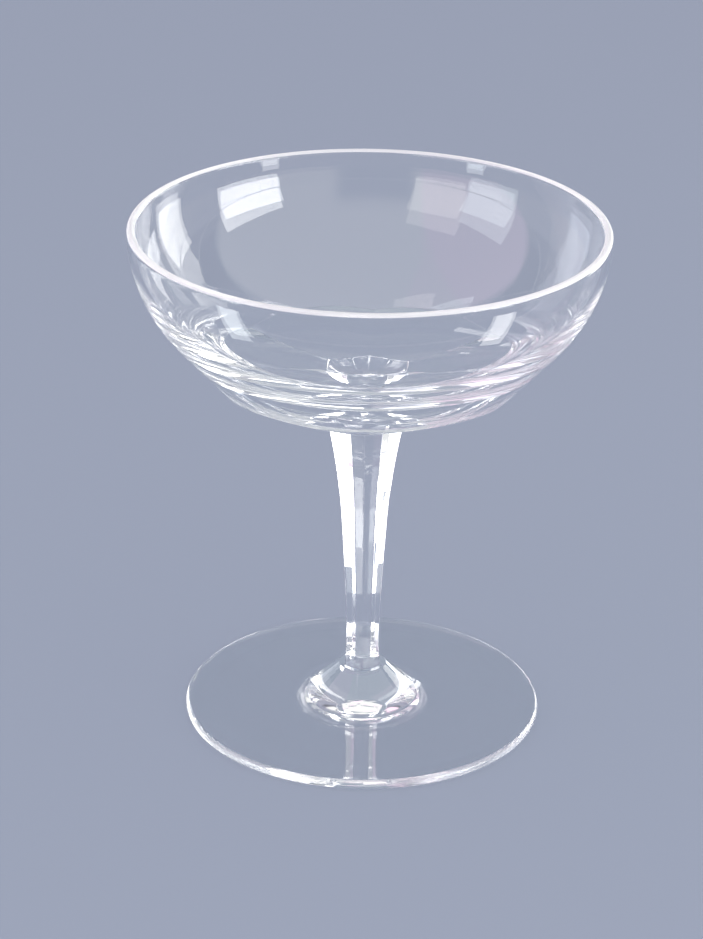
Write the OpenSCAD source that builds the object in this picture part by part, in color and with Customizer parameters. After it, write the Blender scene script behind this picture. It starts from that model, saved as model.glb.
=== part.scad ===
// Coupe glass with a wide shallow bowl, a six-sided waisted stem and a round foot.
// The stem's flats run up into six flat panels that are cut under the bowl.
// Origin: centre of the foot on the table. +Z is up. One corner of the stem faces -Y.

/* [Overall] */
// Height from the table to the top of the rim
glass_h = 111.3; // [100:0.1:125]

/* [Bowl] */
// Outer diameter at the rim
bowl_d = 100; // [90:0.5:110]
// Height that the oval of the bowl's outside would have below the middle of the lip
bowl_oval_h = 38.4; // [36:0.1:41]
// Radius below which the wall leaves the oval and runs straight down to the panels
straight_r = 41.2; // [38:0.1:44]
// Thickness of the wall at the rim, rounded over as the lip
lip_t = 1.8; // [1.2:0.1:2.6]
// Thickness of the floor over the joint with the stem
floor_t = 4.5; // [4:0.1:6.5]
// Fullness of the inside: 2 is an oval, more fills out the corner between wall and floor
inside_fullness = 2.2; // [2:0.05:2.4]

/* [Cut panels] */
// Number of panels under the bowl, and of flats on the stem
flats = 6; // [5:1:8]
// Radius at which the crown of each panel's arch lies
panel_reach = 32.75; // [29:0.25:35]
// Slope of the panels from the stem outwards, in degrees
panel_slope = 13.5; // [8:0.5:16]

/* [Stem] */
// Width across the flats at the joint with the bowl
stem_top_w = 17.8; // [14.5:0.1:20]
// Width across the flats at the waist
stem_waist_w = 7; // [5.6:0.1:7.3]
// Width across the flats at the joint with the foot
stem_foot_w = 7.7; // [7.4:0.1:10]
// Height of the waist above the joint with the foot
waist_rise = 5.3; // [3:0.1:12]
// Width across the flats where the straight taper ends and the flats begin to spread
taper_w = 9.54; // [8:0.02:10.4]
// Height above the waist at which the straight taper begins
taper_start = 14.7; // [8:0.1:20]
// Height above the waist at which the straight taper ends
taper_end = 28.9; // [24:0.1:34]

/* [Foot] */
// Diameter of the foot
foot_d = 77; // [68:0.5:86]
// Thickness of the foot at its rounded edge
foot_edge_t = 2.2; // [1.6:0.1:3]
// Height at which the stem is joined to the neck
neck_h = 10.5; // [9:0.1:12]
// Width of the round ledge that the neck leaves outside the stem's corners
neck_ledge = 0.6; // [0.05:0.05:1]
// Slope of the cone under the neck, in degrees
cone_slope = 42; // [36:1:48]
// Radius of the round between the cone and the disc
cone_round = 6; // [2:0.5:10]
// Height of the disc's top at the foot of the cone
disc_h = 3.2; // [3:0.1:4]
// Width of the flat ring that the foot stands on
rest_w = 3.5; // [2:0.1:6]
// Height of the hollow under the middle of the foot
hollow_h = 1.2; // [0.5:0.1:1.8]
// Diameter of the dimple that is ground and polished where the foot was broken off its rod
pontil_d = 22; // [12:0.5:24]
// Depth of that dimple, above the hollow
pontil_h = 1; // [0.3:0.1:2]

/* [Hidden] */

// Steps in each round stretch of an outline
oval_steps = 36;
lip_steps = 10;
arc_steps = 24;
flat_steps = 48;
// Steps around a revolved shape
$fn = 144;

// The outside, measured down from the middle of the lip: the oval, then its tangent
lip_r = lip_t / 2;
bowl_r = bowl_d / 2;
lip_z = glass_h - lip_r;
straight_angle = acos(straight_r / bowl_r);
straight_z = lip_z - bowl_oval_h * sin(straight_angle);
wall_rise = bowl_oval_h / bowl_r / tan(straight_angle);
function wall_z(r) = straight_z - wall_rise * (straight_r - r);

// The panels: each is a plane through the crown of its arch and the stem's flat
panel_rise = tan(panel_slope);
panel_axis_z = wall_z(panel_reach) - panel_rise * panel_reach;
joint_z = panel_axis_z + panel_rise * stem_top_w / 2;
inside_depth = lip_z - joint_z - floor_t;

// The stem's flats: a long curve and a straight taper up from the waist, then the spread to
// the joint, and a short curve down from the waist
waist_z = neck_h + waist_rise;
top_run = joint_z - waist_z;
taper = (taper_w - stem_waist_w) / 2 / (taper_end - taper_start / 2);
top_spread = (stem_top_w - stem_waist_w) / 2 - taper * (top_run - taper_start / 2);
function above_waist(run) = stem_waist_w / 2
  + (run < taper_start ? taper * run * run / (2 * taper_start) : taper * (run - taper_start / 2))
  + (run > taper_end ? top_spread * pow((run - taper_end) / (top_run - taper_end), 2) : 0);
function below_waist(run) = stem_waist_w / 2
  + (stem_foot_w - stem_waist_w) / 2 * pow(run / waist_rise, 2);

// The foot's outline
foot_r = foot_d / 2;
edge_r = foot_edge_t / 2;
neck_r = stem_foot_w / 2 / cos(180 / flats) + neck_ledge;
disc_r = neck_r + (neck_h - disc_h) / tan(cone_slope) + cone_round * tan(cone_slope / 2);
rest_in_r = foot_r - edge_r - rest_w;
pontil_r = pontil_d / 2;
function hollow_z(r) = hollow_h * (1 - pow(r / rest_in_r, 2));

// A block larger than the glass, for cuts
reach = bowl_d;

// Outline of the blown bowl before it is cut: outside, inside and lip
module bowl_outline() {
  outside = [for (i = [0:oval_steps])
    let (t = straight_angle * i / oval_steps)
    [bowl_r * cos(t), lip_z - bowl_oval_h * sin(t)]];
  inside = [for (i = [oval_steps:-1:0])
    let (t = 90 * i / oval_steps)
    [(bowl_r - lip_t) * cos(t), lip_z - inside_depth * pow(sin(t), 2 / inside_fullness)]];
  lip = [for (i = [1:lip_steps - 1])
    let (t = 180 - 180 * i / lip_steps)
    [bowl_r - lip_r + lip_r * cos(t), lip_z + lip_r * sin(t)]];
  polygon(concat(outside, [[0, wall_z(0)]], inside, lip));
}

// Everything below one panel's plane
module below_panel() {
  translate([0, 0, panel_axis_z])
    rotate([0, -panel_slope, 0])
      translate([-reach, -reach, -reach])
        cube([2 * reach, 2 * reach, reach]);
}

// The bowl, cut with its ring of panels and level at the joint
module bowl() {
  color([0.88, 0.92, 0.95, 0.45])
    difference() {
      rotate_extrude() bowl_outline();
      for (k = [0:flats - 1])
        rotate([0, 0, 360 * k / flats]) below_panel();
      translate([-reach, -reach, joint_z - reach])
        cube([2 * reach, 2 * reach, reach]);
    }
}

// Side view of one flat: everything behind its curve
module flat_outline() {
  below = [for (i = [0:arc_steps])
    let (run = waist_rise * (1 - i / arc_steps))
    [below_waist(run), waist_z - run]];
  above = [for (i = [1:flat_steps])
    let (run = top_run * i / flat_steps)
    [above_waist(run), waist_z + run]];
  polygon(concat([[-stem_top_w, neck_h]], below, above, [[-stem_top_w, joint_z]]));
}

// The stem: what all of its flats leave standing
module stem() {
  color([0.80, 0.88, 0.93, 0.55])
    intersection_for (k = [0:flats - 1])
      rotate([0, 0, 360 * k / flats])
        rotate([90, 0, 0])
          linear_extrude(height = 2 * stem_top_w, center = true)
            flat_outline();
}

// Outline of the foot: neck, cone, disc, rounded edge, rest ring, hollow and dimple
module foot_outline() {
  flare = [for (i = [0:arc_steps])
    let (t = cone_slope * (1 - i / arc_steps))
    [disc_r - cone_round * sin(t), disc_h + cone_round * (1 - cos(t))]];
  edge = [for (i = [0:arc_steps])
    let (t = 90 - 180 * i / arc_steps)
    [foot_r - edge_r + edge_r * cos(t), edge_r + edge_r * sin(t)]];
  hollow = [for (i = [0:arc_steps])
    let (r = rest_in_r + (pontil_r - rest_in_r) * i / arc_steps)
    [r, hollow_z(r)]];
  dimple = [for (i = [1:arc_steps])
    let (share = 1 - i / arc_steps, r = pontil_r * share)
    [r, hollow_z(r) + pontil_h * (1 - share * share)]];
  polygon(concat([[0, neck_h], [neck_r, neck_h]], flare, edge, hollow, dimple));
}

// The foot with the neck that carries the stem
module foot() {
  color([0.86, 0.91, 0.94, 0.5])
    rotate_extrude() foot_outline();
}

bowl();
stem();
foot();
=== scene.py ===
"""Clear crystal coupe glass: fine glass surfaces, studio light and the photograph's camera."""
import math

import bpy
import numpy as np
from mathutils import Matrix, Vector


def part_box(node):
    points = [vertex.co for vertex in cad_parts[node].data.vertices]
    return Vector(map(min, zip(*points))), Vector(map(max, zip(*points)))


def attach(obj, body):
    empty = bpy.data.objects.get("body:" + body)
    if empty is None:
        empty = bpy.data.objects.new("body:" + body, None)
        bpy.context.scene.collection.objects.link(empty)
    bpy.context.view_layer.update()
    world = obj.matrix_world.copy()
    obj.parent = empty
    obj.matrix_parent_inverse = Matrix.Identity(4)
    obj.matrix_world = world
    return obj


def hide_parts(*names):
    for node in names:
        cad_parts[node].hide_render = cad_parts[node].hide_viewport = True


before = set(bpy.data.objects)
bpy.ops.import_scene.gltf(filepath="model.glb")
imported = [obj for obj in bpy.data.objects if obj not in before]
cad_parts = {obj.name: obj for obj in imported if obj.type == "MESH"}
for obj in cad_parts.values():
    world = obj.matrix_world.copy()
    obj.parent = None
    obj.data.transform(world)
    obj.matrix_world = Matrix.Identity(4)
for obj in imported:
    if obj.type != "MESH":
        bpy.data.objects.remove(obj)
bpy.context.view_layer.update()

MM = 0.001

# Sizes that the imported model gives
bowl_low, bowl_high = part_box("bowl")
stem_low, stem_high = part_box("stem")
foot_low, foot_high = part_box("foot")
RIM_R = min(-bowl_low.x, -bowl_low.y, bowl_high.x, bowl_high.y)
TOP_Z = bowl_high.z
JOINT_Z = stem_high.z
NECK_Z = stem_low.z
FOOT_R = min(-foot_low.x, -foot_low.y, foot_high.x, foot_high.y)
STEM_TOP_HALF = stem_high.x

# Bowl: the outside oval, the lip, the inside and the cut panels
LIP_T = 1.8 * MM
OVAL_H = 38.4 * MM
STRAIGHT_R = 41.2 * MM
FLOOR_T = 4.5 * MM
INSIDE_FULLNESS = 2.2
FLATS = 6
PANEL_SLOPE = math.tan(math.radians(13.5))

# Rounding of the panels' arches, which grows with a power of the way out from the stem, and of
# the seams between panels, which is full after a share of that way
ARCH_ROUND = 0.03 * MM
ARCH_POWER = 4
SEAM_ROUND = 0.012 * MM
SEAM_FULL = 1 / 8

# Stem: the flats and their rounds
WAIST_HALF = 3.5 * MM
STEM_FOOT_HALF = 3.85 * MM
WAIST_RISE = 5.3 * MM
TAPER_HALF = 4.77 * MM
TAPER_START = 14.7 * MM
TAPER_END = 28.9 * MM
CORNER_ROUND = 0.25 * MM
TOP_FILLET = 0.5 * MM

# Foot: neck, flare, disc, edge, rest ring and hollow
NECK_LEDGE = 0.6 * MM
NECK_ROUND = 0.35 * MM
CONE_SLOPE = math.radians(42)
CONE_ROUND = 6.0 * MM
DISC_Z = 3.2 * MM
FOOT_EDGE_T = 2.2 * MM
REST_W = 3.5 * MM
HOLLOW_H = 1.2 * MM
PONTIL_R = 11.0 * MM
PONTIL_H = 1.0 * MM

# How finely the surfaces are divided
HALF_COLUMNS = 28
PANEL_RINGS = 26
WALL_RINGS = 24
OVAL_RINGS = 48
LIP_RINGS = 24
INSIDE_RINGS = 64
STEM_RINGS = 96
FILLET_RINGS = 10
FLARE_RINGS = 24
CONE_RINGS = 16
NECK_RINGS = 6
LEDGE_RINGS = 4
DISC_RINGS = 12
EDGE_RINGS = 20
HOLLOW_RINGS = 24
PONTIL_RINGS = 20

# Radius of the ring inside each joint face, as a share of the face's own
JOINT_RING = 0.5

# Rounds of halving that find the panels' arches
HALVINGS = 60

SECTOR = 2 * math.pi / FLATS
HALF_SECTOR = SECTOR / 2
LIP_R = LIP_T / 2
LIP_Z = TOP_Z - LIP_R
INSIDE_R = RIM_R - LIP_T
INSIDE_DEPTH = LIP_Z - JOINT_Z - FLOOR_T


def ease(share):
    """0 to 1, slow at both ends."""
    return share * share * (3 - 2 * share)


def steps(start, end, count):
    """Evenly spaced values after start, up to and with end."""
    return np.linspace(start, end, count + 1)[1:]


# Angles of the mesh columns from the nearest flat's normal, closer together at the seams
spread = np.sin(np.linspace(-1, 1, 2 * HALF_COLUMNS + 1)[:-1] * math.pi / 2) * HALF_SECTOR
LOCAL = np.tile(spread, FLATS)
TURN = np.concatenate([spread + SECTOR * k for k in range(FLATS)])
ONE = np.ones_like(TURN)


def flat_radius(half_width, corner):
    """Radius, at each column, of the six-sided section with rounded corners."""
    to_seam = HALF_SECTOR - np.abs(LOCAL)
    straight = half_width / np.cos(LOCAL)
    centre = (half_width - corner) / math.cos(HALF_SECTOR)
    tangent = math.atan((half_width - corner) * math.tan(HALF_SECTOR) / half_width)
    inner = np.maximum(corner ** 2 - (centre * np.sin(to_seam)) ** 2, 0)
    rounded = centre * np.cos(to_seam) + np.sqrt(inner)
    return np.where(np.abs(LOCAL) < tangent, straight, rounded)


def outside_z(radius):
    """Height of the bowl's outside at a radius: an oval, and below it a straight wall."""
    share = STRAIGHT_R / RIM_R
    depth = OVAL_H * math.sqrt(1 - share ** 2)
    slope = OVAL_H ** 2 / RIM_R * share / depth
    straight = LIP_Z - depth - slope * (STRAIGHT_R - radius)
    oval = LIP_Z - OVAL_H * np.sqrt(np.maximum(1 - (radius / RIM_R) ** 2, 0))
    return np.where(radius < STRAIGHT_R, straight, oval)


def soft_max(a, b, width):
    """The higher of two surfaces, with their edge rounded over."""
    return (a + b) / 2 + np.sqrt(((a - b) / 2) ** 2 + width ** 2)


def panel_z(radius, seam):
    """Height of the ring of cut panels at a radius, at each column."""
    own = JOINT_Z + PANEL_SLOPE * (radius * np.cos(LOCAL) - STEM_TOP_HALF)
    beside = JOINT_Z + PANEL_SLOPE * (radius * np.cos(SECTOR - np.abs(LOCAL)) - STEM_TOP_HALF)
    return soft_max(own, beside, seam)


def arch_radius():
    """Radius, at each column, at which the panels meet the straight wall."""
    low, high = STEM_TOP_HALF * ONE, RIM_R * ONE
    for _ in range(HALVINGS):
        middle = (low + high) / 2
        under = outside_z(middle) < panel_z(middle, 0)
        low, high = np.where(under, middle, low), np.where(under, high, middle)
    return low


class Skin:
    """A closed surface built ring by ring from pole to pole.

    Each ring has a radius and a height at each column.
    """

    def __init__(self):
        self.rings = []
        self.bands = []
        self.sharp = []

    def add(self, radius, height, slot, sharp=False):
        """Adds a ring: slot is the material of the band up to it, and sharp keeps its edge hard."""
        self.rings.append((radius * ONE, height * ONE))
        self.bands.append(slot)
        self.sharp.append(sharp)

    def mesh(self, name):
        """The skin as a mesh, with its first and last ring closed at the axis."""
        count = len(TURN)
        cos, sin = np.cos(TURN), np.sin(TURN)
        rings = [np.column_stack([r * cos, r * sin, z]) for r, z in self.rings]
        first, last = self.rings[0][1][0], self.rings[-1][1][0]
        points = np.vstack(rings + [[0, 0, first], [0, 0, last]])
        start_pole, end_pole = len(points) - 2, len(points) - 1
        faces, slots = [], []
        for j in range(count):
            faces.append((start_pole, (j + 1) % count, j))
            slots.append(self.bands[0])
        for i in range(len(rings) - 1):
            low, high = i * count, (i + 1) * count
            for j in range(count):
                k = (j + 1) % count
                faces.append((low + j, low + k, high + k, high + j))
                slots.append(self.bands[i + 1])
        base = (len(rings) - 1) * count
        for j in range(count):
            faces.append((end_pole, base + j, base + (j + 1) % count))
            slots.append(self.bands[-1])
        mesh = bpy.data.meshes.new(name)
        mesh.from_pydata(points.tolist(), [], faces)
        mesh.polygons.foreach_set("material_index", slots)
        mesh.polygons.foreach_set("use_smooth", [True] * len(faces))
        hard = {i for i, is_sharp in enumerate(self.sharp) if is_sharp}
        pairs = np.empty(2 * len(mesh.edges), int)
        mesh.edges.foreach_get("vertices", pairs)
        rows = pairs.reshape(-1, 2) // count
        on_ring = (rows[:, 0] == rows[:, 1]) & np.isin(rows[:, 0], list(hard))
        mesh.edges.foreach_set("use_edge_sharp", on_ring)
        mesh.validate()
        mesh.update()
        return mesh


# Material slots of the skins
GLASS, JOINT, LIP = 0, 1, 2

# The ground part of the lip, as angles over its arc from the outside
GROUND_LIP = (math.radians(20), math.radians(156))


def bowl_skin():
    """From the middle of the joint over the panels, the oval and the lip, then down the inside."""
    skin = Skin()
    hexagon = flat_radius(STEM_TOP_HALF, CORNER_ROUND)
    fillet = flat_radius(STEM_TOP_HALF + TOP_FILLET, CORNER_ROUND)
    skin.add(hexagon * JOINT_RING, JOINT_Z, JOINT)
    skin.add(hexagon, JOINT_Z, JOINT)
    skin.add(fillet, panel_z(fillet, 0), JOINT, sharp=True)
    arch = arch_radius()
    for share in steps(0, 1, PANEL_RINGS):
        near = 1 - (1 - share) ** 2
        radius = fillet + (arch - fillet) * near
        seam = SEAM_ROUND * ease(min(near / SEAM_FULL, 1))
        smooth = ARCH_ROUND * near ** ARCH_POWER
        skin.add(radius, soft_max(panel_z(radius, seam), outside_z(radius), smooth), GLASS)
    for share in steps(0, 1, WALL_RINGS):
        radius = arch + (STRAIGHT_R - arch) * share ** 2
        smooth = ARCH_ROUND * (1 - share)
        skin.add(radius, soft_max(panel_z(radius, SEAM_ROUND), outside_z(radius), smooth), GLASS)
    for angle in steps(math.acos(STRAIGHT_R / RIM_R), 0, OVAL_RINGS):
        skin.add(RIM_R * math.cos(angle), LIP_Z - OVAL_H * math.sin(angle), GLASS)
    for angle in steps(0, math.pi, LIP_RINGS):
        slot = LIP if GROUND_LIP[0] < angle < GROUND_LIP[1] else GLASS
        skin.add(RIM_R - LIP_R + LIP_R * math.cos(angle), LIP_Z + LIP_R * math.sin(angle), slot)
    for angle in steps(0, math.pi / 2, INSIDE_RINGS)[:-1]:
        depth = INSIDE_DEPTH * math.sin(angle) ** (2 / INSIDE_FULLNESS)
        skin.add(INSIDE_R * math.cos(angle), LIP_Z - depth, GLASS)
    return skin


def stem_half(height):
    """Half the width across the flats at a height."""
    waist_z = NECK_Z + WAIST_RISE
    run = height - waist_z
    if run < 0:
        return WAIST_HALF + (STEM_FOOT_HALF - WAIST_HALF) * (run / WAIST_RISE) ** 2
    taper = (TAPER_HALF - WAIST_HALF) / (TAPER_END - TAPER_START / 2)
    if run < TAPER_START:
        return WAIST_HALF + taper * run ** 2 / (2 * TAPER_START)
    straight = WAIST_HALF + taper * (run - TAPER_START / 2)
    if run < TAPER_END:
        return straight
    top_run = JOINT_Z - waist_z
    spread = STEM_TOP_HALF - WAIST_HALF - taper * (top_run - TAPER_START / 2)
    return straight + spread * ((run - TAPER_END) / (top_run - TAPER_END)) ** 2


def stem_skin():
    """From the middle of the lower joint up the flats and the fillet, then in along the upper joint."""
    skin = Skin()
    low = flat_radius(STEM_FOOT_HALF, CORNER_ROUND)
    skin.add(low * JOINT_RING, NECK_Z, JOINT)
    skin.add(low, NECK_Z, JOINT, sharp=True)
    fillet_z = JOINT_Z - TOP_FILLET
    for height in steps(NECK_Z, fillet_z, STEM_RINGS):
        skin.add(flat_radius(stem_half(height), CORNER_ROUND), height, GLASS)
    start = stem_half(fillet_z)
    wide = STEM_TOP_HALF + TOP_FILLET
    rim = flat_radius(wide, CORNER_ROUND)
    rim_z = panel_z(rim, 0)
    for angle in steps(0, math.pi / 2, FILLET_RINGS):
        half = start + (wide - start) * (1 - math.cos(angle))
        last = math.isclose(angle, math.pi / 2)
        height = rim_z if last else fillet_z + (rim_z - fillet_z) * math.sin(angle)
        skin.add(flat_radius(half, CORNER_ROUND), height, GLASS, sharp=last)
    high = flat_radius(STEM_TOP_HALF, CORNER_ROUND)
    skin.add(high, JOINT_Z, JOINT)
    skin.add(high * JOINT_RING, JOINT_Z, JOINT)
    return skin


def foot_skin():
    """From the middle of the dimple over rest ring, edge, disc and cone to the joint."""
    skin = Skin()
    edge_r = FOOT_EDGE_T / 2
    edge_middle = FOOT_R - edge_r
    rest_in = edge_middle - REST_W
    neck_r = STEM_FOOT_HALF / math.cos(HALF_SECTOR) + NECK_LEDGE
    cone_foot = neck_r + (NECK_Z - DISC_Z) / math.tan(CONE_SLOPE)
    disc_r = cone_foot + CONE_ROUND * math.tan(CONE_SLOPE / 2)
    pontil = PONTIL_R / rest_in
    for share in steps(0, 1, PONTIL_RINGS):
        height = HOLLOW_H * (1 - (pontil * share) ** 2) + PONTIL_H * (1 - share ** 2)
        skin.add(PONTIL_R * share, height, GLASS, sharp=share == 1)
    for share in steps(pontil, 1, HOLLOW_RINGS):
        skin.add(rest_in * share, HOLLOW_H * (1 - share ** 2), GLASS)
    skin.add((rest_in + edge_middle) / 2, 0, GLASS)
    for angle in np.linspace(-math.pi / 2, math.pi / 2, EDGE_RINGS + 1):
        skin.add(edge_middle + edge_r * math.cos(angle), edge_r + edge_r * math.sin(angle), GLASS)
    for share in steps(0, 1, DISC_RINGS):
        radius = edge_middle + (disc_r - edge_middle) * share
        skin.add(radius, FOOT_EDGE_T + (DISC_Z - FOOT_EDGE_T) * share, GLASS)
    for angle in steps(0, CONE_SLOPE, FLARE_RINGS):
        lift = CONE_ROUND * (1 - math.cos(angle))
        skin.add(disc_r - CONE_ROUND * math.sin(angle), DISC_Z + lift, GLASS)
    ledge = neck_r - NECK_ROUND * math.tan(CONE_SLOPE / 2)
    cone_start = disc_r - CONE_ROUND * math.sin(CONE_SLOPE)
    cone_end = ledge + NECK_ROUND * math.sin(CONE_SLOPE)
    for radius in steps(cone_start, cone_end, CONE_RINGS):
        skin.add(radius, NECK_Z - (radius - neck_r) * math.tan(CONE_SLOPE), GLASS)
    for angle in steps(CONE_SLOPE, 0, NECK_RINGS):
        drop = NECK_ROUND * (1 - math.cos(angle))
        skin.add(ledge + NECK_ROUND * math.sin(angle), NECK_Z - drop, GLASS)
    hexagon = flat_radius(STEM_FOOT_HALF, CORNER_ROUND)
    for share in steps(0, 1, LEDGE_RINGS):
        skin.add(ledge + (hexagon - ledge) * share, NECK_Z, GLASS, sharp=share == 1)
    skin.add(hexagon * JOINT_RING, NECK_Z, JOINT)
    return skin


# The lip is ground and only half polished, so that it shows as a white line all round
LIP_ROUGHNESS = 0.45
LIP_CLEARNESS = 0.5

# Tint and refraction of the crystal, and the light that each surface lets through to the floor
GLASS_TINT = (0.998, 0.999, 1.0, 1)
GLASS_IOR = 1.54
SHADOW_TINT = (0.93, 0.935, 0.94, 1)

# The fire polish's ripple: its noise and its depth
RIPPLE_SCALE = 45
RIPPLE_DETAIL = 1
RIPPLE_STRENGTH = 0.05
RIPPLE_DEPTH = 0.4 * MM


def crystal(name, roughness=0.0, transmission=1.0):
    """Clear crystal with the faint ripple of its fire polish and a light shadow."""
    material = bpy.data.materials.new(name)
    material.use_nodes = True
    nodes, links = material.node_tree.nodes, material.node_tree.links
    nodes.clear()
    output = nodes.new("ShaderNodeOutputMaterial")
    glass = nodes.new("ShaderNodeBsdfPrincipled")
    glass.inputs["Base Color"].default_value = GLASS_TINT
    glass.inputs["Transmission Weight"].default_value = transmission
    glass.inputs["IOR"].default_value = GLASS_IOR
    glass.inputs["Roughness"].default_value = roughness
    coordinates = nodes.new("ShaderNodeTexCoord")
    ripple = nodes.new("ShaderNodeTexNoise")
    ripple.inputs["Scale"].default_value = RIPPLE_SCALE
    ripple.inputs["Detail"].default_value = RIPPLE_DETAIL
    bump = nodes.new("ShaderNodeBump")
    bump.inputs["Strength"].default_value = RIPPLE_STRENGTH
    bump.inputs["Distance"].default_value = RIPPLE_DEPTH
    links.new(coordinates.outputs["Object"], ripple.inputs["Vector"])
    links.new(ripple.outputs["Fac"], bump.inputs["Height"])
    links.new(bump.outputs["Normal"], glass.inputs["Normal"])
    path = nodes.new("ShaderNodeLightPath")
    clear = nodes.new("ShaderNodeBsdfTransparent")
    clear.inputs["Color"].default_value = SHADOW_TINT
    surface = glass
    # The floor sees the glass as clear, both for its light and for its shadow
    for ray in ("Is Diffuse Ray", "Is Shadow Ray"):
        mix = nodes.new("ShaderNodeMixShader")
        links.new(path.outputs[ray], mix.inputs[0])
        links.new(surface.outputs[0], mix.inputs[1])
        links.new(clear.outputs[0], mix.inputs[2])
        surface = mix
    links.new(surface.outputs[0], output.inputs["Surface"])
    return material


def joint_face(name):
    """The fused face between two pieces, which lets light straight through."""
    material = bpy.data.materials.new(name)
    material.use_nodes = True
    nodes, links = material.node_tree.nodes, material.node_tree.links
    nodes.clear()
    output = nodes.new("ShaderNodeOutputMaterial")
    clear = nodes.new("ShaderNodeBsdfTransparent")
    links.new(clear.outputs[0], output.inputs["Surface"])
    return material


def piece(name, skin, materials, node):
    """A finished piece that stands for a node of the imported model."""
    made = bpy.data.objects.new(name, skin.mesh(name))
    bpy.context.scene.collection.objects.link(made)
    for material in materials:
        made.data.materials.append(material)
    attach(made, "root")
    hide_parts(node)


# Camera: the photograph's, turned with the glass so that one corner of the stem faces -Y
IMAGE_H = 939
FOCAL_PX = 3247.33
SENSOR = 36
PITCH = math.radians(24.262)
ROLL = math.radians(0.866)
GLASS_TURN = math.radians(2.65)
CAMERA_PLACE = Vector((-3.04, -629.1, 339.8)) * MM
CLIP_NEAR, CLIP_FAR = 0.01, 20


def add_camera():
    """The camera at the photograph's place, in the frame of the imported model."""
    forward = Vector((0, math.cos(PITCH), -math.sin(PITCH)))
    up = Vector((0, math.sin(PITCH), math.cos(PITCH)))
    right = Vector((1, 0, 0))
    rolled_right = right * math.cos(ROLL) + up * math.sin(ROLL)
    rolled_up = up * math.cos(ROLL) - right * math.sin(ROLL)
    turn = Matrix.Rotation(GLASS_TURN, 4, "Z")
    axes = Matrix((rolled_right, rolled_up, -forward)).transposed().to_4x4()
    data = bpy.data.cameras.new("camera")
    data.sensor_width = SENSOR
    data.lens = SENSOR * FOCAL_PX / IMAGE_H
    data.clip_start = CLIP_NEAR
    data.clip_end = CLIP_FAR
    camera = bpy.data.objects.new("camera", data)
    camera.matrix_world = turn @ Matrix.Translation(CAMERA_PLACE) @ axes
    bpy.context.scene.collection.objects.link(camera)
    bpy.context.scene.camera = camera


# Lamps: name, azimuth from +Y towards +X and elevation in degrees, distance from the bowl's
# middle, size, radiance and colour. The windows light everything. The cards only show in the
# glass: two low ones and a farther one for the bowl's bands, two for the stem's flats, and the
# open door
BOWL_MIDDLE = Vector((0, 0, 95)) * MM
WINDOWS = (
    ("right_window", 113, 6, 1.5, (0.95, 0.72), 6.5, (1.0, 0.99, 0.95)),
    ("left_window", -118, 9, 1.5, (0.75, 0.90), 2.6, (0.90, 1.0, 0.97)),
)
CARDS = (
    ("low_right", 51, 1, 0.32, (0.125, 0.20), 4.0, (1.0, 0.99, 0.93)),
    ("low_right_far", 25, -6.7, 0.44, (0.17, 0.09), 3.0, (1.0, 0.99, 0.96)),
    ("low_left", -45, 1, 0.32, (0.14, 0.19), 1.1, (0.90, 0.94, 1.0)),
    ("stem_right", 119, -25, 0.165, (0.028, 0.056), 4.0, (1.0, 0.99, 0.95)),
    ("stem_left", -121.5, -25, 0.165, (0.028, 0.056), 3.6, (0.95, 1.0, 0.98)),
    ("door", -146.5, 17, 1.6, (0.77, 1.0), 1.75, (1.0, 0.97, 0.86)),
)


def hang(name, data, azimuth, elevation, distance):
    """Hangs a lamp so that it faces the bowl."""
    turn, rise = math.radians(azimuth), math.radians(elevation)
    out = Vector((math.sin(turn) * math.cos(rise), math.cos(turn) * math.cos(rise), math.sin(rise)))
    lamp = bpy.data.objects.new(name, data)
    lamp.location = BOWL_MIDDLE + out * distance
    lamp.rotation_mode = "QUATERNION"
    lamp.rotation_quaternion = (-out).to_track_quat("-Z", "Y")
    lamp.visible_camera = False
    bpy.context.scene.collection.objects.link(lamp)
    return lamp


def window(name, azimuth, elevation, distance, size, radiance, colour):
    """A rectangular panel of light."""
    data = bpy.data.lights.new(name, "AREA")
    data.shape = "RECTANGLE"
    data.size, data.size_y = size
    data.energy = radiance * math.pi * size[0] * size[1]
    data.color = colour
    return hang(name, data, azimuth, elevation, distance)


def card(name, azimuth, elevation, distance, size, radiance, colour):
    """A bright card that the glass mirrors and that leaves the floor's light as it is."""
    lamp = window(name, azimuth, elevation, distance, size, radiance, colour)
    lamp.visible_diffuse = False


# The table top lies a hair under the glass, so that the ring under the foot still mirrors
FLOOR_R = 0.62
FLOOR_SIDES = 180
FLOOR_GAP = 0.05 * MM
FLOOR_COLOUR = (0.33, 0.38, 0.47, 1)
FLOOR_ROUGHNESS = 0.9
FLOOR_SHINE = 0.0


def add_floor():
    """A plain pale round table top."""
    mesh = bpy.data.meshes.new("floor")
    turns = [2 * math.pi * i / FLOOR_SIDES for i in range(FLOOR_SIDES)]
    edge = [(FLOOR_R * math.cos(turn), FLOOR_R * math.sin(turn), -FLOOR_GAP) for turn in turns]
    mesh.from_pydata(edge, [], [range(FLOOR_SIDES)])
    floor = bpy.data.objects.new("floor", mesh)
    bpy.context.scene.collection.objects.link(floor)
    material = bpy.data.materials.new("floor")
    material.use_nodes = True
    paint = material.node_tree.nodes["Principled BSDF"]
    paint.inputs["Base Color"].default_value = FLOOR_COLOUR
    paint.inputs["Roughness"].default_value = FLOOR_ROUGHNESS
    paint.inputs["Specular IOR Level"].default_value = FLOOR_SHINE
    mesh.materials.append(material)


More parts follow.
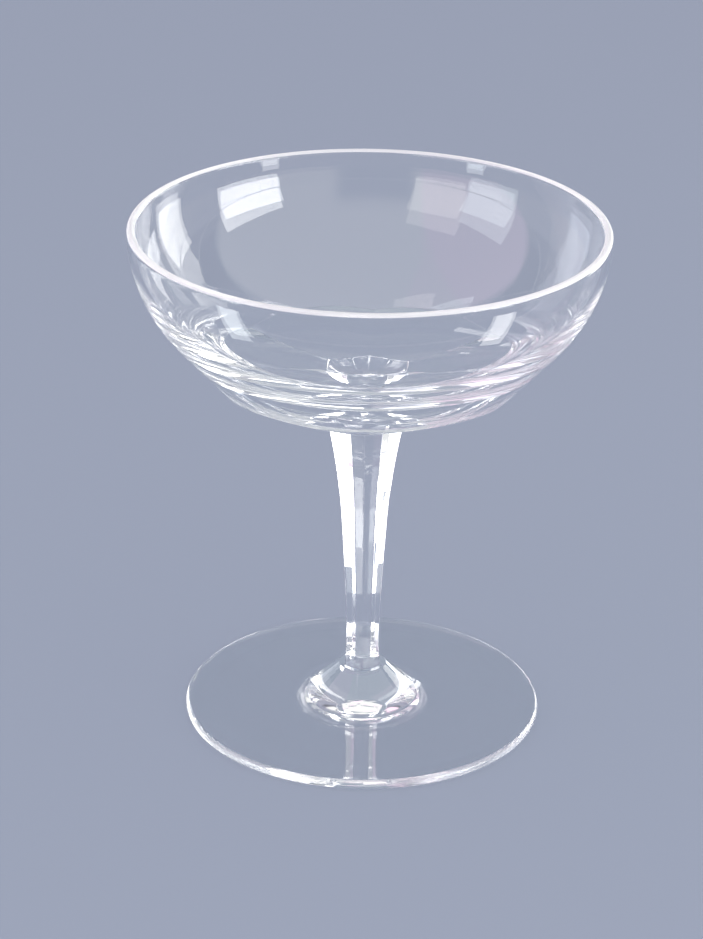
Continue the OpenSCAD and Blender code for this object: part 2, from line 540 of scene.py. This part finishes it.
# The room's tones. Its front half and ceiling are bright, cream to the right and rosy to the
# left. The far half is dark over a lighter low band. Right behind the glass, behind the camera
# and below the horizon it has the table top's tone
ROOM_BACK = (0.34, 0.39, 0.48, 1)
ROOM_DARK = (0.16, 0.18, 0.22, 1)
ROOM_LOW = (0.55, 0.56, 0.62, 1)
ROOM_RIGHT = (1.06, 1.07, 1.05, 1)
ROOM_LEFT = (1.28, 0.96, 1.16, 1)

# The bright part ends where a direction's height less its way towards +Y is ROOM_EDGE
ROOM_EDGE = 0.30
EDGE_SOFT = 0.04

# The other limits: where each tone starts to fade in and where it is full, along X without its
# sign for the sides, along Y for near and far, and along Z for heights
HORIZON = (-0.22, -0.16)
LOW_TOP = (0.26, 0.20)
BACK_SIDE = (0.62, 0.52)
BACK_DEPTH = (0.0, 0.2)
CAMERA_SIDE = (0.40, 0.25)
CAMERA_TOP = (0.50, 0.25)
CAMERA_DEPTH = (0.0, -0.2)
ROSY_FROM = (-0.36, -0.42)


def add_world():
    """The room that the glass reflects."""
    world = bpy.data.worlds.new("room")
    bpy.context.scene.world = world
    world.use_nodes = True
    nodes, links = world.node_tree.nodes, world.node_tree.links
    direction = nodes.new("ShaderNodeTexCoord")
    axes = nodes.new("ShaderNodeSeparateXYZ")
    links.new(direction.outputs["Generated"], axes.inputs[0])

    def maths(operation, first, second=None):
        node = nodes.new("ShaderNodeMath")
        node.operation = operation
        links.new(first, node.inputs[0])
        if second is not None:
            links.new(second, node.inputs[1])
        return node.outputs[0]

    def fade(value, start, end):
        ramp = nodes.new("ShaderNodeMapRange")
        ramp.interpolation_type = "SMOOTHSTEP"
        ramp.inputs["From Min"].default_value = start
        ramp.inputs["From Max"].default_value = end
        links.new(value, ramp.inputs["Value"])
        return ramp.outputs["Result"]

    def layer(share, under, over):
        mix = nodes.new("ShaderNodeMix")
        mix.data_type = "RGBA"
        links.new(share, mix.inputs["Factor"])
        for value, name in ((under, "A"), (over, "B")):
            if isinstance(value, tuple):
                mix.inputs[name].default_value = value
            else:
                links.new(value, mix.inputs[name])
        return mix.outputs["Result"]

    east, north, height = axes.outputs["X"], axes.outputs["Y"], axes.outputs["Z"]
    side = maths("ABSOLUTE", east)
    above_floor = fade(height, *HORIZON)
    behind = maths("MULTIPLY", fade(side, *BACK_SIDE), fade(north, *BACK_DEPTH))
    low = fade(height, *LOW_TOP)
    over = maths("SUBTRACT", height, north)
    front = fade(over, ROOM_EDGE - EDGE_SOFT, ROOM_EDGE + EDGE_SOFT)
    camera = maths("MULTIPLY", fade(side, *CAMERA_SIDE), fade(height, *CAMERA_TOP))
    camera = maths("MULTIPLY", camera, fade(north, *CAMERA_DEPTH))
    bright = layer(fade(east, *ROSY_FROM), ROOM_RIGHT, ROOM_LEFT)
    colour = layer(low, ROOM_DARK, ROOM_LOW)
    colour = layer(behind, colour, ROOM_BACK)
    colour = layer(front, colour, bright)
    colour = layer(camera, colour, ROOM_BACK)
    colour = layer(above_floor, ROOM_BACK, colour)
    links.new(colour, nodes["Background"].inputs["Color"])


# Bounces: many through thick glass, few between dull surfaces
GLASS_BOUNCES = 128
DULL_BOUNCES = 4


def render_settings():
    """Deep light paths for thick glass, and a plain view transform."""
    scene = bpy.context.scene
    scene.view_settings.view_transform = "Standard"
    scene.cycles.max_bounces = GLASS_BOUNCES
    scene.cycles.transmission_bounces = GLASS_BOUNCES
    scene.cycles.glossy_bounces = GLASS_BOUNCES
    scene.cycles.diffuse_bounces = DULL_BOUNCES
    scene.cycles.transparent_max_bounces = GLASS_BOUNCES
    scene.cycles.caustics_reflective = False
    scene.cycles.caustics_refractive = False
    scene.cycles.use_denoising = True


add_camera()
fused = joint_face("fused_joint")
bowl_glass = crystal("bowl_crystal")
stem_glass = crystal("stem_crystal")
foot_glass = crystal("foot_crystal")
lip_glass = crystal("lip_ground", LIP_ROUGHNESS, LIP_CLEARNESS)
piece("coupe_bowl", bowl_skin(), (bowl_glass, fused, lip_glass), "bowl")
piece("coupe_stem", stem_skin(), (stem_glass, fused), "stem")
piece("coupe_foot", foot_skin(), (foot_glass, fused), "foot")
add_floor()
add_world()
for values in WINDOWS:
    window(*values)
for values in CARDS:
    card(*values)
render_settings()
